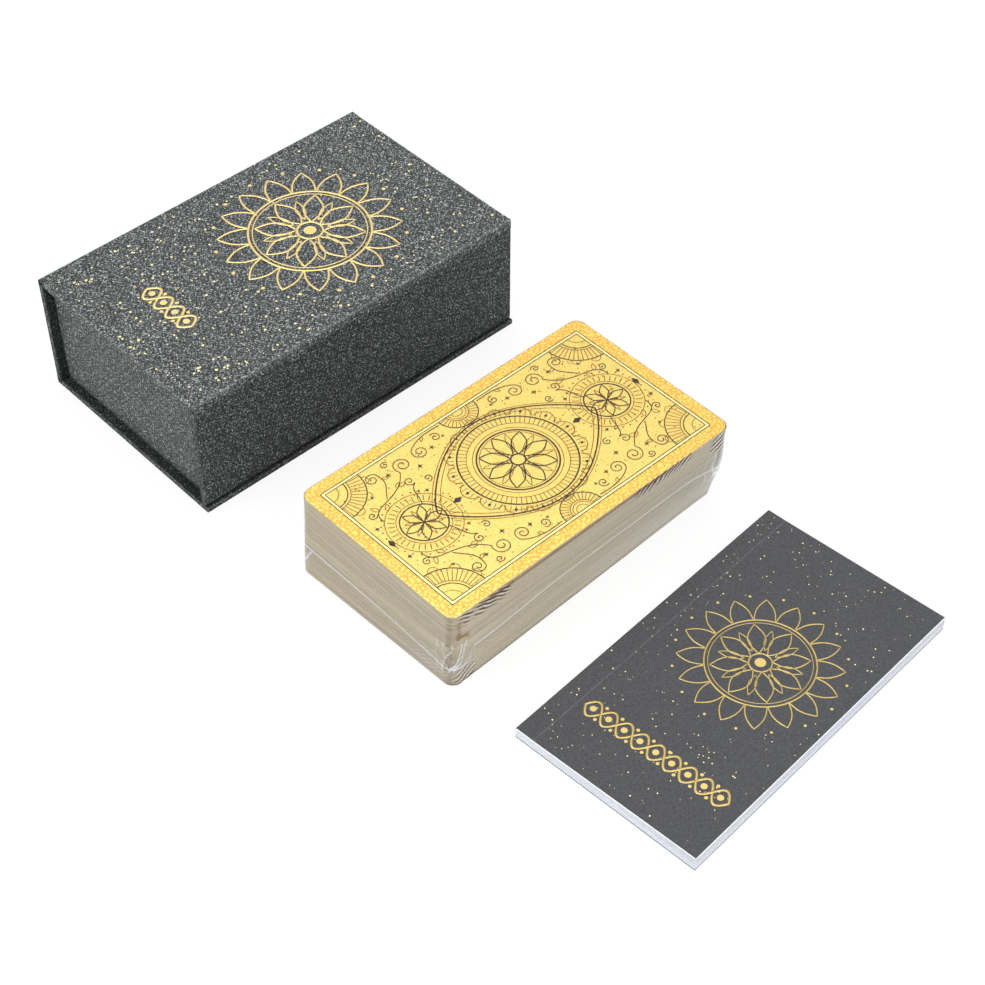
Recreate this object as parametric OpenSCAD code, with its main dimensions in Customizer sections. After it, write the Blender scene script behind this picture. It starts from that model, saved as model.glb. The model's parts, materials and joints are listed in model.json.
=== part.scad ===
// Boxed tarot set: a book-style rigid box, a film-wrapped deck of cards and a guide booklet.
// Lengths are in millimetres and angles in degrees.
// X runs along the box, +Y from its flap towards its spine, +Z up.
// The origin is the centre of the base panel's underside.

/* [Case] */
// Length of the lid, flap, spine and base panels
case_length = 137.5; // [110:0.5:180]
// Depth from the flap's outer face to the spine's outer face
case_depth = 84.6; // [80:0.1:120]
// Height from the table to the top of the lid
case_height = 47; // [42:0.1:70]
// Thickness of the grey board in every case panel
board_t = 1.6; // [1.2:0.1:2.5]
// Thickness of the covering and lining papers
paper_t = 0.2; // [0.1:0.02:0.3]
// Width of the covering paper turned in over a panel's edge
turn_in = 12; // [6:0.5:16]
// Outer radius of the paper folds
fold_r = 0.8; // [0.7:0.05:1.4]
// Room between two boards that share a fold, past the thickness of the panel
fold_room = 0.3; // [0.2:0.05:1]
// How far the base stands out in front of the flap
base_ledge = 1.2; // [0.2:0.1:3]
// Gap between the flap's lower edge and the base
flap_gap = 0.4; // [0.2:0.1:1.5]

/* [Tray] */
// Distance from the end of the case to the tray's end wall
end_recess = 3.5; // [1:0.1:6]
// Thickness of the tray's wall boards
wall_t = 1.6; // [1.2:0.1:2.5]
// Thickness of the tray's floor board
floor_t = 1.2; // [0.8:0.1:2]
// Gap between the flap and the tray's front wall
front_gap = 0.2; // [0.1:0.05:1]
// Gap between the tray's rim and the lid
rim_gap = 0.2; // [0.1:0.05:1]

/* [Clasp] */
// Diameter of the magnets and of their keepers
magnet_d = 10; // [6:0.5:12]
// Distance between the two magnets
magnet_pitch = 76; // [40:1:90]
// Height of the magnets above the flap's lower edge
magnet_rise = 12; // [8:0.5:20]
// Clearance round a magnet in its pocket
magnet_clear = 0.1; // [0.05:0.01:0.2]

/* [Deck] */
// Length of a card
card_length = 120; // [90:0.5:130]
// Width of a card
card_width = 70; // [55:0.5:75]
// Thickness of a card
card_t = 0.43; // [0.3:0.01:0.45]
// Air between one card and the next
card_gap = 0.018; // [0.01:0.002:0.03]
// Radius of a card's corners
card_corner_r = 3.5; // [2:0.1:6]
// Cards in each suit
suit_count = 14; // [10:1:14]
// Trump cards, with the one on top
trump_count = 22; // [10:1:22]
// Turn of the lowest card from the top one
deck_twist = 1.8; // [0:0.05:3]
// Shift of the lowest card from the top one along the deck
deck_lean_x = 0.5; // [-2:0.1:2]
// Shift of the lowest card from the top one across the deck
deck_lean_y = 3.9; // [0:0.1:5]

/* [Film] */
// Thickness of the shrink film
film_t = 0.12; // [0.08:0.01:0.2]
// Air between the film and the cards
film_clear = 0.15; // [0.1:0.01:0.4]
// Height of the welded seam above the table
seam_rise = 13.5; // [6:0.5:20]
// Height of the seam's bead
seam_h = 0.4; // [0.2:0.05:1]
// How far the seam stands out of the film
seam_proud = 0.3; // [0.1:0.05:1]

/* [Booklet] */
// Length of the booklet along its spine
book_length = 122.5; // [100:0.1:125]
// Width of the booklet from spine to fore edge
book_width = 69.6; // [55:0.1:72]
// Thickness of the cover card
cover_t = 0.3; // [0.2:0.02:0.5]
// Thickness of a leaf
leaf_t = 0.09; // [0.07:0.005:0.12]
// Air between one leaf and the next
leaf_gap = 0.011; // [0.008:0.001:0.02]
// First leaves, which turn furthest with the cover
first_count = 6; // [2:1:8]
// Next leaves, which turn half way with the cover
next_count = 6; // [2:1:8]
// Leaves that stay down
rest_count = 22; // [10:1:26]
// Distance from the spine to the cover's scored line
score_inset = 7; // [5:0.25:10]
// Width of the scored line
score_gap = 0.15; // [0.1:0.01:0.3]
// Angle at which the closed cover springs up from its scored line
cover_spring = 1.4; // [0:0.1:4]
// Thickness of the glue along the spine
glue_t = 0.3; // [0.2:0.02:0.6]

/* [Layout] */
// Distance from the flap to the top card's near edge
deck_gap = 42.3; // [42.2:0.1:80]
// Shift of the deck along the box
deck_shift = -0.5; // [-20:0.1:20]
// Turn of the deck from the box
deck_turn = 0.09; // [-2:0.01:2]
// Distance from the top card's far edge to the booklet's spine
book_gap = 19.7; // [15:0.1:50]
// Shift of the booklet's spine along the box
book_shift = 3.9; // [-20:0.1:20]
// Turn of the booklet from the box
book_turn = 4.1; // [-8:0.1:8]

/* [Hidden] */
$fn = 48;

// Overrun of every cut past the face that it opens
cut_over = 1;
// Facets round the corners of the film
film_fn = 32;

// Case
panel_t = board_t + 2 * paper_t;
fold_t = 2 * paper_t;
fold_slack = panel_t - fold_r + fold_room;
fold_set = fold_r + fold_slack;
back_y = (case_depth + base_ledge) / 2;
front_y = back_y - case_depth;
base_depth = case_depth + base_ledge - fold_set;
lid_depth = case_depth - 2 * fold_set;
spine_height = case_height - 2 * fold_set;
flap_low = panel_t + flap_gap;
flap_height = case_height - fold_set - flap_low;
magnet_z = flap_low + magnet_rise;
magnet_places = [-magnet_pitch / 2, magnet_pitch / 2];

// Tray, with its covering paper on both sides of each wall
skin_t = wall_t + 2 * paper_t;
tray_length = case_length - 2 * end_recess;
tray_front = front_y + panel_t + front_gap;
tray_back = back_y - panel_t;
tray_depth = tray_back - tray_front;
tray_mid = (tray_front + tray_back) / 2;
tray_low = panel_t;
tray_height = case_height - panel_t - rim_gap - tray_low;
wall_height = tray_height - paper_t;
inside_length = tray_length - 2 * skin_t;
inside_depth = tray_depth - 2 * skin_t;

// Deck, counted from the lowest card
card_count = 4 * suit_count + trump_count;
card_pitch = card_t + card_gap;
cards_low = film_t + card_gap;
deck_top = cards_low + card_count * card_pitch + film_t;
deck_y = front_y - deck_gap - card_width / 2;

// Booklet, whose own origin is the middle of its underside
leaf_pitch = leaf_t + leaf_gap;
leaf_count = first_count + next_count + rest_count;
leaves_low = cover_t + leaf_gap;
book_height = leaves_low + leaf_count * leaf_pitch + cover_t;
cover_low = book_height - cover_t;
spine_in = book_width / 2 - cover_t;
leaf_end = spine_in - glue_t;
score_y = book_width / 2 - score_inset;
turn_end = score_y - score_gap / 2;
stub_start = score_y + score_gap / 2;
spine_y = deck_y - card_width / 2 - book_gap;

// Shapes that several pieces share

// A block centred on X that starts at y and z
module block(length, depth, height, y, z) {
    translate([-length / 2, y, z])
        cube([length, depth, height]);
}

// A panel lies with its outer face up, its hinge edge at y = 0 and its far edge at y = depth.
// A free far edge is wrapped like the two ends; otherwise it meets another fold.
module panel_board(depth, far_free) {
    stop = far_free ? depth - paper_t : depth;
    block(case_length - 2 * paper_t, stop, board_t, 0, paper_t);
}

module panel_wrap(depth, far_free) {
    board_stop = far_free ? depth - paper_t : depth + cut_over;
    window_stop = far_free ? depth - turn_in : depth + cut_over;
    window_top = paper_t + board_t / 2;
    difference() {
        block(case_length, depth, panel_t, 0, 0);
        block(case_length - 2 * paper_t, board_stop + cut_over, board_t, -cut_over, paper_t);
        block(case_length - 2 * turn_in, window_stop + cut_over, window_top + cut_over, -cut_over, -cut_over);
    }
}

module panel_liner(depth, far_free) {
    stop = far_free ? depth - turn_in : depth;
    block(case_length - 2 * turn_in, stop, paper_t, 0, 0);
}

// A paper fold round an outer corner: the outline lies in the Y-Z plane with the corner at +Y, +Z
module fold_strip() {
    rotate([90, 0, 90])
        linear_extrude(height = case_length, center = true) {
            intersection() {
                difference() {
                    circle(r = fold_r);
                    circle(r = fold_r - fold_t);
                }
                square(fold_r + cut_over);
            }
            translate([-fold_slack, fold_r - fold_t])
                square([fold_slack, fold_t]);
            translate([fold_r - fold_t, -fold_slack])
                square([fold_t, fold_slack]);
        }
}

// Where each panel lies on the case
module at_base() {
    translate([0, back_y - fold_set, panel_t])
        rotate([180, 0, 0])
            children();
}

module at_spine() {
    translate([0, back_y - panel_t, fold_set])
        rotate([90, 0, 180])
            children();
}

module at_lid() {
    translate([0, front_y + fold_set, case_height - panel_t])
        children();
}

module at_flap() {
    translate([0, front_y + panel_t, case_height - fold_set])
        rotate([-90, 0, 180])
            children();
}

// Discs of the clasp, lying in the Y direction from face y
module clasp_discs(d, y, depth) {
    for (x = magnet_places)
        translate([x, y, magnet_z])
            rotate([-90, 0, 0])
                cylinder(d = d, h = depth);
}

// A block centred on the tray
module tray_block(length, depth, low, height) {
    block(length, depth, height, tray_mid - depth / 2, low);
}

// Rounded outline of a card, grown by a margin
module card_outline(grow) {
    r = card_corner_r + grow;
    length = card_length + 2 * grow;
    width = card_width + 2 * grow;
    square([length - 2 * r, width], center = true);
    square([length, width - 2 * r], center = true);
    for (x = [-1, 1], y = [-1, 1])
        translate([x * (length / 2 - r), y * (width / 2 - r)])
            circle(r = r);
}

module at_deck() {
    translate([deck_shift, deck_y, 0])
        rotate([0, 0, deck_turn])
            children();
}

// Pose of the stack at height z: none at the top card, all of the twist and lean at the table
module stack_pose(z) {
    low_share = 1 - z / deck_top;
    rotate([0, 0, deck_twist * low_share])
        translate([deck_lean_x * low_share, deck_lean_y * low_share, z])
            children();
}

module cards(first, count) {
    at_deck()
        for (i = [first : first + count - 1])
            stack_pose(cards_low + i * card_pitch)
                linear_extrude(height = card_t)
                    card_outline(0);
}

// Solid sleeve round the stack from height low to height high
module sleeve(low, high, grow) {
    hull()
        for (z = [low, high - film_t])
            stack_pose(z)
                linear_extrude(height = film_t)
                    card_outline(grow, $fn = film_fn);
}

module at_booklet() {
    translate([book_shift, spine_y, 0])
        rotate([0, 0, book_turn])
            translate([0, -book_width / 2, 0])
                children();
}

module leaves(first, count, start, end) {
    at_booklet()
        for (i = [first : first + count - 1])
            block(book_length, end - start, leaf_t, start, leaves_low + i * leaf_pitch);
}

// Tilts a sheet of the booklet up by an angle about its upper edge at the scored line
module sprung(angle, top) {
    translate([0, turn_end, top])
        rotate([-angle, 0, 0])
            translate([0, -turn_end, -top])
                children();
}

// Leaves that turn with the cover, fanned from the leaves that stay down up to the sprung cover
module turning_leaf(i) {
    low = leaves_low + i * leaf_pitch;
    share = (i - rest_count + 1) / (first_count + next_count + 1);
    sprung(cover_spring * share, low + leaf_t)
        block(book_length, turn_end + book_width / 2, leaf_t, -book_width / 2, low);
}

module turning_leaves(first, count) {
    at_booklet()
        for (i = [first : first + count - 1])
            turning_leaf(i);
}

// Base

module base_board() {
    color("dimgray")
        at_base()
            panel_board(base_depth, true);
}

module base_wrap() {
    color([0.27, 0.28, 0.28])
        at_base()
            panel_wrap(base_depth, true);
}

module base_fold() {
    color([0.27, 0.28, 0.28])
        translate([0, back_y - fold_r, fold_r])
            rotate([-90, 0, 0])
                fold_strip();
}

// Spine

module spine_board() {
    color("dimgray")
        at_spine()
            panel_board(spine_height, false);
}

module spine_wrap() {
    color([0.27, 0.28, 0.28])
        at_spine()
            panel_wrap(spine_height, false);
}

// Lid

module lid_fold() {
    color([0.27, 0.28, 0.28])
        translate([0, back_y - fold_r, case_height - fold_r])
            fold_strip();
}

module lid_board() {
    color("dimgray")
        at_lid()
            panel_board(lid_depth, false);
}

module lid_wrap() {
    color([0.34, 0.35, 0.35])
        at_lid()
            panel_wrap(lid_depth, false);
}

module lid_liner() {
    color([0.1, 0.1, 0.1])
        at_lid()
            panel_liner(lid_depth, false);
}

// Flap

module flap_fold() {
    color([0.27, 0.28, 0.28])
        translate([0, front_y + fold_r, case_height - fold_r])
            rotate([90, 0, 0])
                fold_strip();
}

module flap_board() {
    color("dimgray")
        difference() {
            at_flap()
                panel_board(flap_height, true);
            clasp_discs(magnet_d + 2 * magnet_clear, front_y - cut_over, panel_t + 2 * cut_over);
        }
}

module flap_wrap() {
    color([0.22, 0.23, 0.23])
        at_flap()
            panel_wrap(flap_height, true);
}

module flap_liner() {
    color([0.1, 0.1, 0.1])
        at_flap()
            panel_liner(flap_height, true);
}

module flap_magnets() {
    color("silver")
        clasp_discs(magnet_d, front_y + paper_t, board_t);
}

// Tray

module tray_floor() {
    color("dimgray")
        tray_block(inside_length, inside_depth, tray_low, floor_t);
}

module tray_floor_liner() {
    color([0.1, 0.1, 0.1])
        tray_block(inside_length, inside_depth, tray_low + floor_t, paper_t);
}

module tray_long_wall(y) {
    block(tray_length - 2 * paper_t, wall_t, wall_height, y, tray_low);
}

module tray_end_wall(side) {
    translate([side * (tray_length / 2 - paper_t - wall_t / 2), 0, 0])
        tray_block(wall_t, tray_depth - 2 * paper_t - 2 * wall_t, tray_low, wall_height);
}

module tray_front_wall() {
    color("dimgray")
        difference() {
            tray_long_wall(tray_front + paper_t);
            clasp_discs(magnet_d + 2 * magnet_clear, tray_front - cut_over, skin_t + 2 * cut_over);
        }
}

module tray_back_wall() {
    color("dimgray")
        tray_long_wall(tray_back - paper_t - wall_t);
}

module tray_left_wall() {
    color("dimgray")
        tray_end_wall(-1);
}

module tray_right_wall() {
    color("dimgray")
        tray_end_wall(1);
}

module tray_wrap() {
    color([0.27, 0.28, 0.28])
        difference() {
            tray_block(tray_length, tray_depth, tray_low, tray_height);
            tray_block(inside_length, inside_depth, tray_low - cut_over, tray_height + 2 * cut_over);
            difference() {
                tray_block(
                    tray_length - 2 * paper_t, tray_depth - 2 * paper_t,
                    tray_low - cut_over, wall_height + cut_over
                );
                tray_block(
                    inside_length + 2 * paper_t, inside_depth + 2 * paper_t,
                    tray_low - 2 * cut_over, wall_height + 3 * cut_over
                );
            }
        }
}

module tray_keepers() {
    color("silver")
        clasp_discs(magnet_d, tray_front + paper_t, wall_t);
}

// Cards

module top_card() {
    color([0.93, 0.77, 0.36])
        cards(card_count - 1, 1);
}

module trump_cards() {
    color([0.66, 0.63, 0.57])
        cards(4 * suit_count, trump_count - 1);
}

module wands_cards() {
    color([0.66, 0.63, 0.57])
        cards(0, suit_count);
}

module cups_cards() {
    color([0.66, 0.63, 0.57])
        cards(suit_count, suit_count);
}

module swords_cards() {
    color([0.66, 0.63, 0.57])
        cards(2 * suit_count, suit_count);
}

module coins_cards() {
    color([0.66, 0.63, 0.57])
        cards(3 * suit_count, suit_count);
}

// Film

module film_upper() {
    color([0.9, 0.9, 0.9, 0.25])
        at_deck()
            difference() {
                sleeve(seam_rise + seam_h / 2, deck_top, film_clear + film_t);
                sleeve(seam_rise - cut_over, deck_top - film_t, film_clear);
            }
}

module film_lower() {
    color([0.9, 0.9, 0.9, 0.25])
        at_deck()
            difference() {
                sleeve(0, seam_rise - seam_h / 2, film_clear + film_t);
                sleeve(film_t, seam_rise + cut_over, film_clear);
            }
}

module film_seam() {
    color([0.95, 0.95, 0.95, 0.5])
        at_deck()
            difference() {
                sleeve(seam_rise - seam_h / 2, seam_rise + seam_h / 2, film_clear + film_t + seam_proud);
                sleeve(seam_rise - cut_over, seam_rise + cut_over, film_clear);
            }
}

// Booklet

module front_cover() {
    color([0.25, 0.26, 0.27])
        at_booklet()
            sprung(cover_spring, book_height)
                block(book_length, turn_end + book_width / 2, cover_t, -book_width / 2, cover_low);
}

module back_cover() {
    color([0.25, 0.26, 0.27])
        at_booklet() {
            block(book_length, book_width, cover_t, -book_width / 2, 0);
            block(book_length, cover_t, book_height, spine_in, 0);
            block(book_length, book_width / 2 - stub_start, cover_t, stub_start, cover_low);
        }
}

module first_leaves() {
    color("white")
        turning_leaves(rest_count + next_count, first_count);
}

module next_leaves() {
    color("white")
        turning_leaves(rest_count, next_count);
}

module rest_leaves() {
    color("white")
        leaves(0, rest_count, -book_width / 2, leaf_end);
}

module leaf_stubs() {
    color("white")
        leaves(rest_count, next_count + first_count, stub_start, leaf_end);
}

module spine_glue() {
    color("ivory")
        at_booklet()
            block(book_length, glue_t, cover_low - cover_t, leaf_end, cover_t);
}

base_board();
base_wrap();
base_fold();
spine_board();
spine_wrap();
lid_fold();
lid_board();
lid_wrap();
lid_liner();
flap_fold();
flap_board();
flap_wrap();
flap_liner();
flap_magnets();
tray_floor();
tray_floor_liner();
tray_front_wall();
tray_back_wall();
tray_left_wall();
tray_right_wall();
tray_wrap();
tray_keepers();
top_card();
trump_cards();
wands_cards();
cups_cards();
swords_cards();
coins_cards();
film_upper();
film_lower();
film_seam();
front_cover();
back_cover();
first_leaves();
next_leaves();
rest_leaves();
leaf_stubs();
spine_glue();
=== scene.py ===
import json
from math import atan2, cos, exp, hypot, pi, radians, sin, tau

import bmesh
import bpy
from mathutils import Matrix, Quaternion, Vector, noise


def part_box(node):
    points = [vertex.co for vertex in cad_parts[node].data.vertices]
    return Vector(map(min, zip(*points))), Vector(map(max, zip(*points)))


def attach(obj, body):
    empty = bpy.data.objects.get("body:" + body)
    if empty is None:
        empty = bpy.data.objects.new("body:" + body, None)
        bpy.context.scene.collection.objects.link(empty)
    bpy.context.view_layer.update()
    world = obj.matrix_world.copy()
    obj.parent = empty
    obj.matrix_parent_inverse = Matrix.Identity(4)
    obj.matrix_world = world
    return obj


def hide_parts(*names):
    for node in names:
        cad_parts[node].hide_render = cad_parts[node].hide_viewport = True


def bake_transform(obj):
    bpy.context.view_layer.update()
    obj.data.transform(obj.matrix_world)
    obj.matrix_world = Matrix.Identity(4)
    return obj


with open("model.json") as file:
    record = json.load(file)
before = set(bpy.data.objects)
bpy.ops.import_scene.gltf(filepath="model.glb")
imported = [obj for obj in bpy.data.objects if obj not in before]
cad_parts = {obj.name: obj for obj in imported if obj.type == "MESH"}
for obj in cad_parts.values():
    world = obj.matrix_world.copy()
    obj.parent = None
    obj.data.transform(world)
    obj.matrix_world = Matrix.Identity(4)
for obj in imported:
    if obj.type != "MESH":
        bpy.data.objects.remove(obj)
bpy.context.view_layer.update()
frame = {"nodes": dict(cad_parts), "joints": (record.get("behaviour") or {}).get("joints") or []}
scene = bpy.context.scene
scene.view_settings.view_transform = "Standard"
mm = 0.001  # pieces are drawn in millimetres and placed in metres


# small helpers
def addObject(name, data):
    made = bpy.data.objects.new(name, data)
    scene.collection.objects.link(made)
    return made


def lookAlong(thing, way, roll=0.0):  # cameras and lamps look along their own -Z
    thing.rotation_mode = "QUATERNION"
    thing.rotation_quaternion = way.to_track_quat("-Z", "Y") @ Quaternion((0, 0, 1), radians(roll))


def boxMm(node):
    return [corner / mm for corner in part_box(node)]


def moved(x, y, z=0.0):  # mm
    return Matrix.Translation((x * mm, y * mm, z * mm))


def polar(radius, angle, x=0.0, y=0.0):
    return x + radius * cos(angle), y + radius * sin(angle)


def rotated(x, y, angle):
    return x * cos(angle) - y * sin(angle), x * sin(angle) + y * cos(angle)


def bell(value, centre, width):
    return exp(-(((value - centre) / width) ** 2))


def fade(value, full, gone):
    t = min(1.0, max(0.0, (gone - value) / (gone - full)))
    return t * t * (3 - 2 * t)


def camel(words):
    first, *rest = words.lower().replace("_", " ").split()
    return first + "".join(word.capitalize() for word in rest)


def patchMesh(lowX, lowY, highX, highY):  # one flat face at height zero
    mesh = bpy.data.meshes.new("patch")
    corners = ((lowX, lowY), (highX, lowY), (highX, highY), (lowX, highY))
    mesh.from_pydata([(x * mm, y * mm, 0.0) for x, y in corners], [], [(0, 1, 2, 3)])
    return mesh


# camera, fitted to the corners of the box, the deck and the booklet
cameraView = {
    "place": (-324.8, -457.35, 513.1),  # mm
    "heading": 42.789,  # degrees from +Y towards +X
    "drop": 46.461,  # degrees below level
    "roll": -0.014,
    "lens": 77.805,
    "sensor": 36.0,
}


def makeCamera(view):
    camera = addObject("camera", bpy.data.cameras.new("camera"))
    camera.data.lens, camera.data.sensor_width = view["lens"], view["sensor"]
    heading, drop = radians(view["heading"]), radians(view["drop"])
    lookAlong(camera, Vector((sin(heading) * cos(drop), cos(heading) * cos(drop), -sin(drop))), view["roll"])
    camera.location = Vector(view["place"]) * mm
    scene.camera = camera


makeCamera(cameraView)


# node helpers, for shader trees and geometry trees alike
def anySocket(values):
    return next(value for value in values if isinstance(value, bpy.types.NodeSocket))


def feed(inputs, given):  # by number, or by name with _ for a space
    for key, value in given.items():
        socket = inputs[key.replace("_", " ") if isinstance(key, str) else key]
        if isinstance(value, bpy.types.NodeSocket):
            socket.id_data.links.new(value, socket)
        else:
            socket.default_value = value


def put(kind, *values, near=None, at=None, **named):  # capital names and at are inputs, the other names are settings
    settings = {key: named.pop(key) for key in list(named) if key[0].islower()}
    inputs = dict(enumerate(values)) | (at or {}) | named
    made = (near or anySocket(inputs.values())).id_data.nodes.new(kind)
    for key, value in settings.items():
        setattr(made, key, value)
    feed(made.inputs, inputs)
    return made.outputs


def calc(operation, *values):
    return put("ShaderNodeMath", *values, operation=operation)[0]


def product(first, second):
    return calc("MULTIPLY", first, second)


def vectorCalc(operation, *values):
    made = put("ShaderNodeVectorMath", *values, operation=operation)
    return made["Value" if operation in ("DOT_PRODUCT", "DISTANCE") else "Vector"]


def scaled(vector, factor):
    return put("ShaderNodeVectorMath", vector, Scale=factor, operation="SCALE")[0]


def ramp(*values):  # value, from low and high, to low and high, which are 0 and 1 unless given
    return put("ShaderNodeMapRange", *values)[0]


def layered(colour, *coats):  # each coat is how much it covers, and its colour
    for cover, tone in coats:
        colour = put("ShaderNodeMix", cover, at={6: colour, 7: tone}, data_type="RGBA")[2]
    return colour


def noiseValue(where, scale, detail=2.0, rough=0.5):
    return put("ShaderNodeTexNoise", Vector=where, Scale=scale, Detail=detail, Roughness=rough)[0]


def xyz(*values):
    return put("ShaderNodeCombineXYZ", *values)[0]


def bareTree(owner):
    owner.use_nodes = True
    owner.node_tree.nodes.clear()
    return owner.node_tree


def tint(*screen):  # a screen colour, 0 to 255, as Blender's linear colour
    return (*((c / 255 / 12.92) if c <= 10 else ((c / 255 + 0.055) / 1.055) ** 2.4 for c in screen), 1.0)


# pale floor and soft studio light
studio = {
    "floorSpan": 6.0,  # m
    "bounce": 0.80,  # how much of the light the floor sends back
    "seenWhite": 1.04,
    "seenShade": 0.18,  # share of the floor's seen white that a shadow can take
    "skyLight": 0.44,
    "lamps": (  # place m, aimed at m, size m, power W
        ("leftLamp", (-1.35, 0.30, 1.05), (0, -0.10, 0.02), 1.0, 10.0),
        ("topLamp", (0.25, 0.25, 1.70), (0, -0.10, 0.00), 1.3, 12.0),
        ("frontLamp", (-0.20, -1.50, 0.90), (0, -0.10, 0.02), 1.0, 10.0),
    ),
}


def seenRay(tree):  # 1 for rays that show the background: seen, mirrored or through glass
    path = put("ShaderNodeLightPath", near=tree)
    mirrored = calc("MAXIMUM", path["Is Glossy Ray"], path["Is Transmission Ray"])
    return calc("MAXIMUM", path["Is Camera Ray"], mirrored)


def makeStudio(plan):
    material = bpy.data.materials.new("floorPaper")
    tree = bareTree(material)
    greys = [(plan[key],) * 3 + (1,) for key in ("bounce", "seenShade")]
    dull, shade = (put("ShaderNodeBsdfDiffuse", grey, near=tree)[0] for grey in greys)
    glow = put("ShaderNodeEmission", near=tree, Strength=plan["seenWhite"] - plan["seenShade"])[0]
    white = put("ShaderNodeAddShader", shade, glow)[0]
    put("ShaderNodeOutputMaterial", put("ShaderNodeMixShader", seenRay(tree), dull, white)[0])
    half = plan["floorSpan"] / 2 / mm
    floor = addObject("floor", patchMesh(-half, -half, half, half))
    floor.data.materials.append(material)
    scene.world = bpy.data.worlds.new("studioSky")
    sky = bareTree(scene.world)
    level = ramp(seenRay(sky), 0.0, 1.0, plan["skyLight"], 1.0)
    put("ShaderNodeOutputWorld", put("ShaderNodeBackground", (1, 1, 1, 1), level)[0])
    for name, place, target, size, power in plan["lamps"]:
        lamp = addObject(name, bpy.data.lights.new(name, "AREA"))
        lamp.data.size, lamp.data.energy, lamp.location = size, power, place
        lookAlong(lamp, Vector(target) - Vector(place))


makeStudio(studio)
print("studio ready")


# shared effects, as shader node groups
def sockets(kind, *names):
    return [(name, "NodeSocket" + kind) for name in names]


def newGroup(name, inputs, outputs, kind="ShaderNodeTree"):
    tree = bpy.data.node_groups.new(name, kind)
    for way, rows in (("INPUT", inputs), ("OUTPUT", outputs)):
        for label, socket in rows:
            tree.interface.new_socket(label, in_out=way, socket_type=socket)
    return tree, tree.nodes.new("NodeGroupInput").outputs, tree.nodes.new("NodeGroupOutput").inputs


def newEffect(name, inputs, outputs):  # reads a place and some numbers
    return newGroup(name, sockets("Vector", "Vector") + sockets("Float", *inputs), sockets("Float", *outputs))


def makeFibreFlecks():  # short fibres at all angles, cut through by the surface
    tree, given, result = newEffect("fibreFlecks", ("Cell", "Length", "Width"), ("Mask", "Tone"))
    where, width = given["Vector"], given["Width"]
    cells = put("ShaderNodeTexVoronoi", Vector=where, Scale=calc("DIVIDE", 1.0, given["Cell"]))
    reach = vectorCalc("SUBTRACT", where, cells["Position"])
    lie = vectorCalc("NORMALIZE", vectorCalc("SUBTRACT", cells["Color"], (0.5, 0.5, 0.5)))
    half = product(given["Length"], 0.5)
    along = calc("MINIMUM", vectorCalc("DOT_PRODUCT", reach, lie), half)
    along = calc("MAXIMUM", along, product(half, -1.0))
    away = vectorCalc("DISTANCE", reach, scaled(lie, along))
    chance = put("ShaderNodeTexWhiteNoise", Vector=cells["Position"])[0]
    feed(result, {"Mask": ramp(away, width, product(width, 0.45)), "Tone": chance})
    return tree


def makePaperTooth():  # fine grain for bump, and slow clouding of the tone
    tree, given, result = newEffect("paperTooth", ("Grain",), ("Height", "Clouding"))
    fine = noiseValue(given["Vector"], calc("DIVIDE", 1.0, given["Grain"]), 4.0, 0.6)
    feed(result, {"Height": fine, "Clouding": noiseValue(given["Vector"], 0.05, 3.0)})
    return tree


def makeEdgeRub():  # handling wear that breaks up along an edge
    tree, given, result = newEffect("edgeRub", ("Edge", "Reach"), ("Mask",))
    broken = ramp(noiseValue(given["Vector"], 0.9, 4.0, 0.65), 0.35, 0.7)
    feed(result, {"Mask": ramp(product(given["Edge"], calc("ADD", broken, given["Reach"])), 0.25, 1.1)})
    return tree


fibreFlecks, paperTooth, edgeRub = makeFibreFlecks(), makePaperTooth(), makeEdgeRub()
finishes = {}


def placeGroup(group, **inputs):
    return put("ShaderNodeGroup", node_tree=group, **inputs)


def newFinish(name, **fixed):  # a material with a Principled shader and the object's own millimetres
    finishes[name] = bpy.data.materials.new(name)
    tree = bareTree(finishes[name])
    shader = tree.nodes.new("ShaderNodeBsdfPrincipled")
    feed(shader.inputs, fixed)
    put("ShaderNodeOutputMaterial", shader.outputs[0])
    return shader.inputs, scaled(put("ShaderNodeTexCoord", near=tree)["Object"], 1 / mm)


def painted(near, name):
    return put("ShaderNodeAttribute", near=near, attribute_name=name)["Fac"]


def dress(shader, colour, tooth, depth, strength, rough=None, height=None, **more):  # bump depth in mm
    height = height or tooth["Height"]
    more["Normal"] = put("ShaderNodeBump", Height=height, Distance=depth * mm, Strength=strength)[0]
    if rough:
        more["Roughness"] = ramp(tooth["Height"], 0.3, 0.7, *rough)
    feed(shader, {"Base Color": colour, **more})


def turned(where):  # coordinates turned out of the lattice of the noise, which would show as a weave
    return put("ShaderNodeVectorRotate", Vector=where, Axis=(0.48, 0.62, 0.62), Angle=0.9)[0]


def shaded(colour, share):
    return tuple(c * share for c in colour[:3]) + (1,)


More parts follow.
